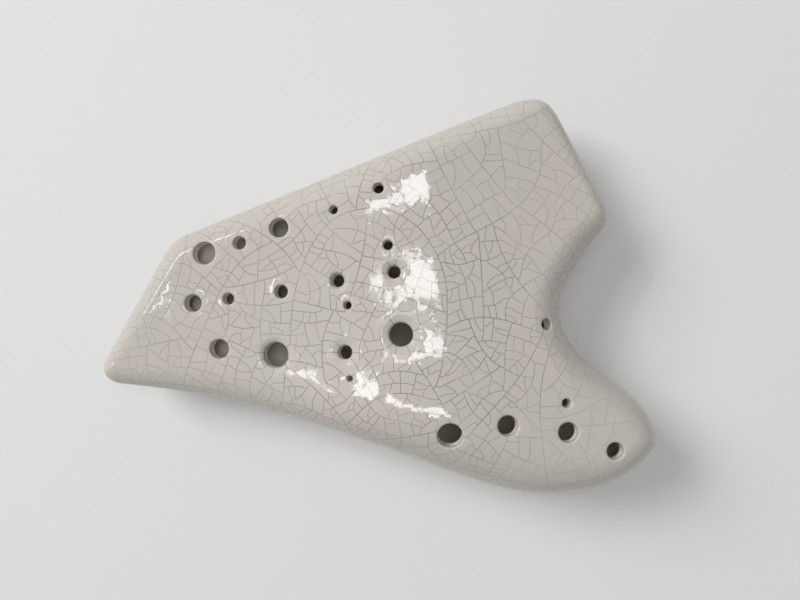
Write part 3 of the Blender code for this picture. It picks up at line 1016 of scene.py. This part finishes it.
def rim_fade(edge):
    """Share of a crack's darkness that is left towards the outline."""
    return RIM_STAIN + (1 - RIM_STAIN) * np.clip(edge / RIM_FADE, 0, 1)


def form_tree():
    """Raises a flat shell to its form: a quarter-round edge that runs up to a gently domed level,
    inside and outside, with the lips and dishes of the holes and the cracks sunk into it."""
    tree = bpy.data.node_groups.new("shell_form", "GeometryNodeTree")
    tree.interface.new_socket("Geometry", in_out="OUTPUT", socket_type="NodeSocketGeometry")
    tree.interface.new_socket("Geometry", in_out="INPUT", socket_type="NodeSocketGeometry")
    for name in ("Side", "Wall", "Side wall", "Least inner roll", "Slip", "Seam height", "Lip",
                 "Dish depth", "Crack depth"):
        tree.interface.new_socket(name, in_out="INPUT", socket_type="NodeSocketFloat")
    tree.interface.new_socket("Material", in_out="INPUT", socket_type="NodeSocketMaterial")
    net = Net(tree)
    given = net.add("NodeGroupInput").outputs
    kept = {}
    for key in ("edge", "roll", "level", "filling", "gap", "dish", "depth", "crack"):
        node = net.add("GeometryNodeInputNamedAttribute", {"Name": key}, data_type="FLOAT")
        kept[key] = node.outputs[0]

    def round_up(distance, reach, level):
        left = net.math("SUBTRACT", 1.0, net.math("DIVIDE", distance, reach), clamp=True)
        return net.math("MULTIPLY", level, net.math("SQRT", net.math(
            "SUBTRACT", 1.0, net.math("MULTIPLY", left, left), clamp=True)))

    outer_level = net.math("MULTIPLY_ADD", given["Slip"], 0.5, kept["level"])
    plain = round_up(kept["edge"], kept["roll"], outer_level)
    lip = net.math("SUBTRACT", given["Lip"], round_up(kept["gap"], given["Lip"], given["Lip"]))
    in_dish = net.math("SUBTRACT", 1.0, net.math("DIVIDE", kept["gap"], net.math(
        "MAXIMUM", kept["dish"], LEAST_DISH * MM)), clamp=True)
    has_dish = net.math("GREATER_THAN", kept["dish"], LEAST_DISH * MM)
    dished = net.math("MULTIPLY", has_dish, given["Dish depth"])
    drop = net.math("MULTIPLY_ADD", in_dish, dished, lip)
    drop = net.math("MULTIPLY_ADD", kept["crack"], given["Crack depth"], drop)
    outside = net.math("SUBTRACT", plain, drop)
    inner_reach = net.math("MAXIMUM", net.math("SUBTRACT", kept["roll"], given["Side wall"]),
                           given["Least inner roll"])
    inner_gap = net.math("MAXIMUM", net.math("SUBTRACT", kept["edge"], given["Side wall"]), 0.0)
    clay = net.math("ADD", kept["filling"], given["Wall"])
    inside = round_up(inner_gap, inner_reach, net.math("SUBTRACT", kept["level"], clay))
    span = net.math("MULTIPLY", net.math("SUBTRACT", inside, outside), kept["depth"])
    rise = net.math("MULTIPLY", net.math("ADD", outside, span), given["Side"])
    plan = net.add("ShaderNodeSeparateXYZ", {0: net.add("GeometryNodeInputPosition").outputs[0]})
    place = net.add("ShaderNodeCombineXYZ", {0: plan.outputs[0], 1: plan.outputs[1],
                                             2: net.math("ADD", rise, given["Seam height"])})
    raised_up = net.add("GeometryNodeSetPosition", {"Geometry": given["Geometry"],
                                                    "Position": place.outputs[0]})
    real = net.add("GeometryNodeRealizeInstances", {"Geometry": raised_up.outputs[0]})
    glazed = net.add("GeometryNodeSetMaterial", {"Geometry": real.outputs[0],
                                                 "Material": given["Material"]})
    net.add("NodeGroupOutput", {"Geometry": glazed.outputs[0]})
    return tree


def mouth_matrix():
    """The mouthpiece's own axes: X runs in from the lip along the windways, Y across them towards
    the low chamber, Z up."""
    a = Vector(OUTLINE[LIP_KNOTS[0]][:2])
    b = Vector(OUTLINE[LIP_KNOTS[1]][:2])
    across = (a - b).normalized()
    inwards = Vector((across.y, -across.x))
    ends = [Vector(OUTLINE[LIP_KNOTS[0] - 1][:2]), Vector(OUTLINE[LIP_KNOTS[1] + 1][:2])]
    middle = sum((e - a).dot(across) for e in ends) / 2
    origin = a + across * middle
    return Matrix((
        (inwards.x, across.x, 0, origin.x),
        (inwards.y, across.y, 0, origin.y),
        (0, 0, 1, 0),
        (0, 0, 0, 1),
    ))


MOUTH = mouth_matrix()


def in_mouth(x, y):
    """Plan point for x along and y across the mouthpiece."""
    return (MOUTH @ Vector((x, y, 0)))[:2]


def windway_layout():
    """Centre line and block sides of each windway across the mouthpiece."""
    edge = -sum(w[0] for w in WINDWAYS.values()) / 2
    layout = {}
    for name, (block, *_) in WINDWAYS.items():
        layout[name] = (edge + block / 2, edge, edge + block)
        edge += block
    return layout


LAYOUT = windway_layout()


def roof_height(x, y):
    """Height of a windway's roof, in the inner face of the back shell's wall."""
    place = np.array([in_mouth(x, y)])
    return float(WALL + plateau(place, FILLING)[0] - plateau(place, BACK)[0]) - ROOF_BITE


class GlazeSettings(bpy.types.PropertyGroup):
    """Colours and sizes of the crackle glaze."""

    body_colour: bpy.props.FloatVectorProperty(
        name="Body colour", description="Colour of the glaze between the cracks",
        default=(0.55, 0.513, 0.467), size=3, subtype="COLOR")
    cool_colour: bpy.props.FloatVectorProperty(
        name="Cool tint", description="Greenish grey tint of some patches",
        default=(0.532, 0.505, 0.457), size=3, subtype="COLOR")
    warm_colour: bpy.props.FloatVectorProperty(
        name="Warm tint", description="Beige tint of some patches",
        default=(0.562, 0.512, 0.462), size=3, subtype="COLOR")
    crack_colour: bpy.props.FloatVectorProperty(
        name="Crack colour", description="Colour of the stained cracks",
        default=(0.22, 0.195, 0.175), size=3, subtype="COLOR")
    clay_colour: bpy.props.FloatVectorProperty(
        name="Clay colour", description="Colour of the raw clay inside",
        default=(0.84, 0.79, 0.7), size=3, subtype="COLOR")
    crack_width: bpy.props.FloatProperty(
        name="Crack width", description="Width of a stained crack",
        default=0.3 * MM, unit="LENGTH")
    crack_depth: bpy.props.FloatProperty(
        name="Crack depth", description="How far the glaze sinks along a crack",
        default=0.012 * MM, unit="LENGTH")
    cell_tilt: bpy.props.FloatProperty(
        name="Cell tilt", description="How much the cells between cracks differ in tilt",
        default=0.01)


class StageSettings(bpy.types.PropertyGroup):
    """Camera and lights."""

    camera_height: bpy.props.FloatProperty(
        name="Camera height", description="Height of the lens above the seam",
        default=0.243, unit="LENGTH")
    lens: bpy.props.FloatProperty(
        name="Lens", description="Focal length on a 36 mm wide sensor", default=28.8)
    key_light: bpy.props.FloatProperty(
        name="Key light", description="Brightness of the large soft light", default=8.0)
    fill_light: bpy.props.FloatProperty(
        name="Fill", description="Brightness of the light from all round", default=0.3)
    backdrop: bpy.props.FloatProperty(
        name="Backdrop", description="Brightness of the backdrop behind the floor", default=0.85)
    panel_light: bpy.props.FloatProperty(
        name="Panels", description="Brightness of the small panels", default=11.0)


class Net:
    """Short words for wiring one node tree."""

    def __init__(self, tree):
        self.tree = tree

    def add(self, kind, inputs=(), **settings):
        """A node of a kind, with its settings, whose inputs are values or other nodes' sockets."""
        node = self.tree.nodes.new(kind)
        for name, value in settings.items():
            setattr(node, name, value)
        for key, value in dict(inputs).items():
            if isinstance(value, bpy.types.NodeSocket):
                self.tree.links.new(value, node.inputs[key])
            else:
                node.inputs[key].default_value = value
        return node

    def math(self, operation, a, b=0.0, c=0.0, clamp=False):
        node = self.add("ShaderNodeMath", {0: a, 1: b, 2: c}, operation=operation, use_clamp=clamp)
        return node.outputs[0]

    def vector(self, operation, a, b=(0.0, 0.0, 0.0), c=(0.0, 0.0, 0.0)):
        return self.add("ShaderNodeVectorMath", {0: a, 1: b, 2: c}, operation=operation).outputs[0]

    def mix(self, share, a, b):
        node = self.add("ShaderNodeMix", {0: share, 6: a, 7: b}, data_type="RGBA")
        return node.outputs[2]


def glaze_material(settings):
    """Pale glossy glaze with fine stained cracks, in which each cell has its own slight tint and
    lies at its own slight tilt."""
    material = bpy.data.materials.new("glaze")
    material.use_nodes = True
    net = Net(material.node_tree)
    shader = material.node_tree.nodes["Principled BSDF"]
    shader.inputs["Coat Weight"].default_value = 0.0
    place = net.add("ShaderNodeTexCoord").outputs["Object"]
    near = net.add("ShaderNodeAttribute", attribute_name="crack_near").outputs["Fac"]
    stain = net.add("ShaderNodeAttribute", attribute_name="stain").outputs["Fac"]
    cell = net.add("ShaderNodeAttribute", attribute_name="cell").outputs["Vector"]
    depth = net.add("ShaderNodeAttribute", attribute_name="depth").outputs["Fac"]
    away = net.math("MULTIPLY", net.math("SUBTRACT", 1.0, near), CRACK_REACH * MM)
    half = settings.crack_width / 2
    line = net.add("ShaderNodeMapRange", {
        "Value": away, "From Min": half * LINE_EDGE[0], "From Max": half * LINE_EDGE[1],
        "To Min": 1.0, "To Max": 0.0}, interpolation_type="SMOOTHSTEP")
    faint = net.add("ShaderNodeTexNoise", {"Vector": place, "Scale": FAINT_SCALE, "Detail": 2.0})
    faint = net.add("ShaderNodeMapRange", {
        "Value": faint.outputs[0], "From Min": FAINT_FROM, "From Max": FAINT_TO,
        "To Min": FAINTEST, "To Max": 1.0})
    line = net.math("MULTIPLY", net.math("MULTIPLY", line.outputs[0], stain), faint.outputs[0])
    split = net.add("ShaderNodeSeparateXYZ", {0: cell})
    patch = net.add("ShaderNodeTexNoise", {"Vector": place, "Scale": PATCH_SCALE, "Detail": 1.0})
    patch = net.add("ShaderNodeSeparateColor", {0: patch.outputs["Color"]})
    shares = []
    for k, contrast in enumerate(PATCH_CONTRAST):
        swing = net.math("MULTIPLY_ADD", net.math("SUBTRACT", patch.outputs[k], 0.5), contrast, 0.5)
        own = net.math("SUBTRACT", split.outputs[k], 0.5)
        shares.append(net.math("MULTIPLY_ADD", own, CELL_SHARE, swing, clamp=True))
    tint = net.mix(shares[0], (*settings.body_colour, 1), (*settings.cool_colour, 1))
    tint = net.mix(net.math("MULTIPLY", shares[1], WARM_SHARE), tint, (*settings.warm_colour, 1))
    colour = net.mix(line, tint, (*settings.crack_colour, 1))
    bare = net.add("ShaderNodeMapRange", {
        "Value": depth, "From Min": GLAZE_END[0], "From Max": GLAZE_END[1]}).outputs[0]
    colour = net.mix(bare, colour, (*settings.clay_colour, 1))
    material.node_tree.links.new(colour, shader.inputs["Base Color"])
    matt = net.math("MULTIPLY_ADD", bare, BARE_ROUGHNESS - GLAZE_ROUGHNESS, GLAZE_ROUGHNESS)
    material.node_tree.links.new(matt, shader.inputs["Roughness"])
    peel = net.add("ShaderNodeTexNoise", {"Vector": place, "Scale": PEEL_SCALE, "Detail": 1.0})
    bump = net.add("ShaderNodeBump", {"Height": net.math("MULTIPLY", peel.outputs[0], PEEL_HEIGHT),
                                      "Strength": PEEL_STRENGTH, "Distance": 1.0})
    tilt = net.vector("SUBTRACT", cell, (0.5, 0.5, 0.5))
    normal = net.vector("MULTIPLY_ADD", tilt, (settings.cell_tilt,) * 3, bump.outputs[0])
    normal = net.vector("NORMALIZE", normal)
    material.node_tree.links.new(normal, shader.inputs["Normal"])
    return material


def plain_material(name, colour, roughness):
    """A material of one colour."""
    material = bpy.data.materials.new(name)
    material.use_nodes = True
    shader = material.node_tree.nodes["Principled BSDF"]
    shader.inputs["Base Color"].default_value = (*colour, 1)
    shader.inputs["Roughness"].default_value = roughness
    return material


def add_object(name, data):
    """An object for a mesh, a light or a camera."""
    obj = bpy.data.objects.new(name, data)
    bpy.context.collection.objects.link(obj)
    return obj


def plain_copy(obj):
    """Turns an object's evaluated mesh into its own mesh, without its modifiers."""
    mesh = bpy.data.meshes.new_from_object(obj.evaluated_get(bpy.context.evaluated_depsgraph_get()))
    obj.modifiers.clear()
    obj.data = mesh


def raise_shell(name, side, tree, settings):
    """One shell at its place in the frame, raised by the form rule."""
    mesh = flat_shell(name, side)
    mesh.transform(Matrix.Translation((-MIDDLE[0] * MM, -MIDDLE[1] * MM, 0)))
    shell = add_object(name, mesh)
    modifier = shell.modifiers.new("form", "NODES")
    modifier.node_group = tree
    values = {
        "Side": float(side),
        "Wall": WALL * MM,
        "Side wall": SIDE_WALL * MM,
        "Least inner roll": LEAST_INNER_ROLL * MM,
        "Slip": SLIP * MM,
        "Seam height": SEAM * MM,
        "Lip": LIP * MM,
        "Dish depth": DISH_DEPTH * MM,
        "Crack depth": settings.crack_depth,
        "Material": bpy.data.materials.get("glaze") or glaze_material(settings),
    }
    for item in tree.interface.items_tree:
        if item.name in values:
            modifier[item.identifier] = values[item.name]
    plain_copy(shell)
    return shell


def cutter(name, rings):
    """A closed cutting shape through rings of corners, at its place in the frame."""
    count = len(rings[0])
    last = count * (len(rings) - 1)
    faces = [list(range(count))[::-1]]
    for start in range(0, last, count):
        for k in range(count):
            n = (k + 1) % count
            faces.append([start + k, start + n, start + count + n, start + count + k])
    faces.append(list(range(last, last + count)))
    mesh = bpy.data.meshes.new(name)
    mesh.from_pydata([tuple(c * MM for c in v) for ring in rings for v in ring], [], faces)
    mesh.transform(Matrix.Translation((-MIDDLE[0] * MM, -MIDDLE[1] * MM, SEAM * MM)))
    return add_object(name, mesh)


def windway_cutter(name):
    """The slot of one windway, from outside the lip to just past its window's near edge."""
    _, mouth_width, window_width, length, cut_up = WINDWAYS[name]
    centre = LAYOUT[name][0]
    inner = np.linspace(LIP_RUN, length, WINDWAY_STATIONS)
    rings = []
    for x in (-CUT_PAST, 0.0, *inner, length + cut_up / 2):
        width = mouth_width + (window_width - mouth_width) * min(max(x, 0), length) / length
        roof = roof_height(max(x, LIP_RUN), centre)
        floor = roof + WINDWAY_HEIGHT
        rings.append([(*in_mouth(x, centre + across * width / 2), z)
                      for across, z in ((-1, roof), (1, roof), (1, floor), (-1, floor))])
    return cutter(f"cutter_windway_{name}", rings)


def window_cutter(name):
    """The window through the back shell, with the ramp that leads down to its labium."""
    _, _, width, length, cut_up = WINDWAYS[name]
    centre = LAYOUT[name][0]
    edge = length + cut_up
    far = edge + LABIUM_RAMP
    inside = roof_height(edge, centre) + ROOF_BITE
    outside = point_height(*in_mouth(far, centre), -1) - SLIP / 2
    lip = inside - LABIUM_EDGE
    deep = -REST_DEPTH - CUT_PAST
    slope = (outside - lip) / LABIUM_RAMP
    profile = [
        (length, deep),
        (far + RAMP_RUN_OUT, deep),
        (far + RAMP_RUN_OUT, outside + slope * RAMP_RUN_OUT),
        (edge, lip),
        (edge, inside + CUT_PAST),
        (length, inside + CUT_PAST),
    ]
    rings = [[(*in_mouth(x, centre + across * width / 2), z) for x, z in profile]
             for across in (1, -1)]
    return cutter(f"cutter_window_{name}", rings)


class OCARINA_OT_front_shell(bpy.types.Operator):
    """Make the glazed front shell with its finger holes"""

    bl_idname = "ocarina.front_shell"
    bl_label = "Front shell"

    def execute(self, context):
        shell = raise_shell("front_glazed", 1, shared_form(), context.scene.ocarina_glaze)
        shell.data.shade_smooth()
        shell.data.set_sharp_from_angle(angle=math.radians(FRONT_CREASE))
        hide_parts("front_shell")
        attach(shell, "root")
        return {"FINISHED"}


class OCARINA_OT_back_shell(bpy.types.Operator):
    """Make the glazed back shell with its thumb holes, windows and windways"""

    bl_idname = "ocarina.back_shell"
    bl_label = "Back shell"

    def execute(self, context):
        shell = raise_shell("back_glazed", -1, shared_form(), context.scene.ocarina_glaze)
        cutters = [make(name) for name in WINDWAYS for make in (windway_cutter, window_cutter)]
        for tool in cutters:
            modifier = shell.modifiers.new(tool.name, "BOOLEAN")
            modifier.operation = "DIFFERENCE"
            modifier.solver = "EXACT"
            modifier.object = tool
        plain_copy(shell)
        for tool in cutters:
            bpy.data.objects.remove(tool)
        shell.data.shade_smooth()
        shell.data.set_sharp_from_angle(angle=math.radians(BACK_CREASE))
        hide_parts("back_shell")
        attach(shell, "root")
        return {"FINISHED"}


def shared_form():
    """The form rule, made once for both shells."""
    return bpy.data.node_groups.get("shell_form") or form_tree()


class OCARINA_OT_inner_clay(bpy.types.Operator):
    """Finish the dividers and the windway blocks in raw clay"""

    bl_idname = "ocarina.inner_clay"
    bl_label = "Inner clay"

    def execute(self, context):
        colour = context.scene.ocarina_glaze.clay_colour
        material = plain_material("bisque", colour, CLAY_ROUGHNESS)
        for name in INNER_CLAY:
            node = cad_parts[name]
            node.data.materials.clear()
            node.data.materials.append(material)
        return {"FINISHED"}


class OCARINA_OT_stage(bpy.types.Operator):
    """Set up the floor, the lights and the camera straight above"""

    bl_idname = "ocarina.stage"
    bl_label = "Stage"

    def execute(self, context):
        settings = context.scene.ocarina_stage
        add_floor()
        key = add_light("key", *KEY, settings.key_light)
        key.visible_glossy = False
        add_light("edge", *EDGE_STRIP, settings.panel_light)
        for x, y, length, width, turn in PANELS:
            panel = add_light("panel", (x, y, CEILING), (length, width), settings.panel_light)
            panel.rotation_euler = (0, 0, math.radians(turn))
        context.scene.world = studio_world(settings)
        context.scene.view_settings.view_transform = "Standard"
        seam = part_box("back_shell")[1].z
        camera = add_object("camera", bpy.data.cameras.new("camera"))
        camera.data.lens = settings.lens
        camera.data.clip_start = NEAREST_SEEN
        camera.location = (*CAMERA_PLACE, seam + settings.camera_height)
        context.scene.camera = camera
        return {"FINISHED"}


def studio_world(settings):
    """Soft light from all round, which the camera and the gloss see as a pale backdrop."""
    world = bpy.data.worlds.new("studio")
    world.use_nodes = True
    net = Net(world.node_tree)
    path = net.add("ShaderNodeLightPath").outputs
    seen = net.math("MAXIMUM", path["Is Camera Ray"], path["Is Glossy Ray"])
    backdrop = world.node_tree.nodes["Background"]
    step = settings.backdrop - settings.fill_light
    strength = net.math("MULTIPLY_ADD", seen, step, settings.fill_light)
    world.node_tree.links.new(strength, backdrop.inputs["Strength"])
    backdrop.inputs["Color"].default_value = (1, 1, 1, 1)
    return world


def add_floor():
    """Wide pale floor just under the rest."""
    mesh = bpy.data.meshes.new("floor")
    reach = FLOOR_REACH
    corners = [(-reach, -reach), (reach, -reach), (reach, reach), (-reach, reach)]
    mesh.from_pydata([(x, y, -FLOOR_GAP) for x, y in corners], [], [(0, 1, 2, 3)])
    mesh.materials.append(plain_material("paper", FLOOR_COLOUR, FLOOR_ROUGHNESS))
    add_object("floor", mesh)


def add_light(name, location, size, brightness):
    """An area light that faces the object and looks as bright from every side."""
    light = bpy.data.lights.new(name, "AREA")
    light.shape = "RECTANGLE"
    light.size, light.size_y = size
    light.energy = brightness * math.pi * light.size * light.size_y
    lamp = add_object(name, light)
    lamp.location = location
    lamp.rotation_euler = Vector(location).to_track_quat("Z", "Y").to_euler()
    return lamp


class OCARINA_PT_panel(bpy.types.Panel):
    """The ocarina's steps in order"""

    bl_label = "Triple ocarina"
    bl_space_type = "VIEW_3D"
    bl_region_type = "UI"
    bl_category = "Ocarina"

    def draw(self, context):
        for group in (context.scene.ocarina_glaze, context.scene.ocarina_stage):
            for name in group.bl_rna.properties.keys():
                if name not in ("rna_type", "name"):
                    self.layout.prop(group, name)
        for operator in OPERATORS:
            self.layout.operator(operator.bl_idname)


OPERATORS = (OCARINA_OT_front_shell, OCARINA_OT_back_shell, OCARINA_OT_inner_clay, OCARINA_OT_stage)
CLASSES = (GlazeSettings, StageSettings, *OPERATORS, OCARINA_PT_panel)


def register():
    for cls in CLASSES:
        bpy.utils.register_class(cls)
    bpy.types.Scene.ocarina_glaze = bpy.props.PointerProperty(type=GlazeSettings)
    bpy.types.Scene.ocarina_stage = bpy.props.PointerProperty(type=StageSettings)


def unregister():
    del bpy.types.Scene.ocarina_stage
    del bpy.types.Scene.ocarina_glaze
    for cls in reversed(CLASSES):
        bpy.utils.unregister_class(cls)


def main():
    register()
    bpy.ops.ocarina.front_shell()
    bpy.ops.ocarina.back_shell()
    bpy.ops.ocarina.inner_clay()
    bpy.ops.ocarina.stage()


if __name__ == "__main__":
    main()
